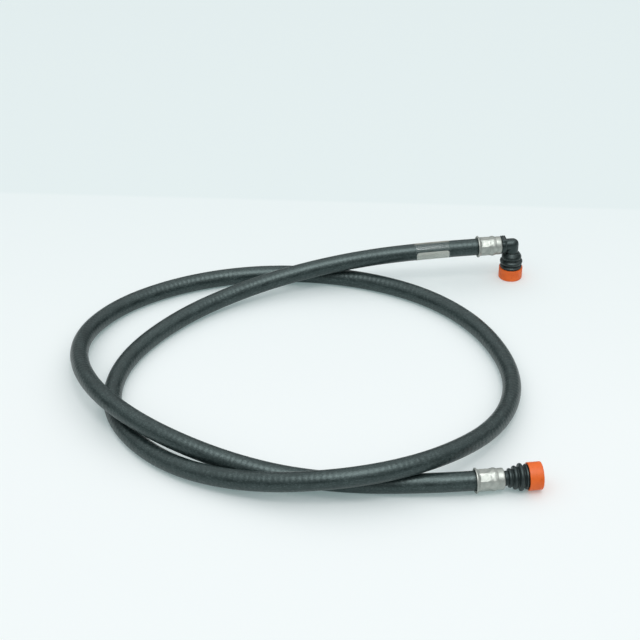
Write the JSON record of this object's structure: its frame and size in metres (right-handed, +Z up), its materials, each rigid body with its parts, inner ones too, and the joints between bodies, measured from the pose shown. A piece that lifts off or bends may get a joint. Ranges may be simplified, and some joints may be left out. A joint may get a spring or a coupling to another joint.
{
  "type": "hydraulic hose assembly",
  "caption": "Flexible textile-braid hydraulic hose laid in loose loops, with a crimped straight end and a crimped elbow end, each with an O-ring spigot, bellows boot and push-on cap.",
  "frame": {"origin": "middle of the bounding box in plan, on the surface that the hose lies on", "axes": "+X the way both crimped ends point, +Y across the loops towards the elbow end, +Z up"},
  "size_m": [0.389, 0.3295, 0.0408],
  "materials": {
    "hose_cover": "matt black rubber with a fine textile impression",
    "hose_braid": "textile reinforcement braid",
    "hose_liner": "smooth nitrile tube",
    "ferrule": "dull zinc plating",
    "stem": "turned and zinc plated",
    "clip": "blackened spring wire",
    "elbow": "black glass-filled moulding",
    "boot": "matt black moulded rubber",
    "seal": "smooth black",
    "cap": "orange moulded polyethylene",
    "label_patch": "pale print panel without lettering",
    "label_film": "clear glossy film"
  },
  "bodies": {
    "hose_assembly": {"hose_liner": "hose_liner", "hose_braid": "hose_braid", "hose_cover": "hose_cover", "label_patch": "label_patch", "label_film": "label_film", "straight_ferrule": "ferrule", "straight_stem": "stem", "straight_boot": "boot", "straight_o_ring_front": "seal", "straight_o_ring_rear": "seal", "elbow_ferrule": "ferrule", "elbow_nipple": "stem", "elbow_nipple_o_ring": "seal", "elbow_lock_clip": "clip", "elbow_body": "elbow", "elbow_boot": "boot", "elbow_o_ring_front": "seal", "elbow_o_ring_rear": "seal"},
    "straight_cap": {"straight_cap": "cap"},
    "elbow_cap": {"elbow_cap": "cap"}
  },
  "joints": [
    {"name": "straight_cap_pull", "type": "slide", "parent": "hose_assembly", "child": "straight_cap", "axis": [1, 0, 0], "range_m": [0, 0.06]},
    {"name": "elbow_cap_pull", "type": "slide", "parent": "hose_assembly", "child": "elbow_cap", "axis": [0, 0, -1], "range_m": [0, 0.06]}
  ]
}
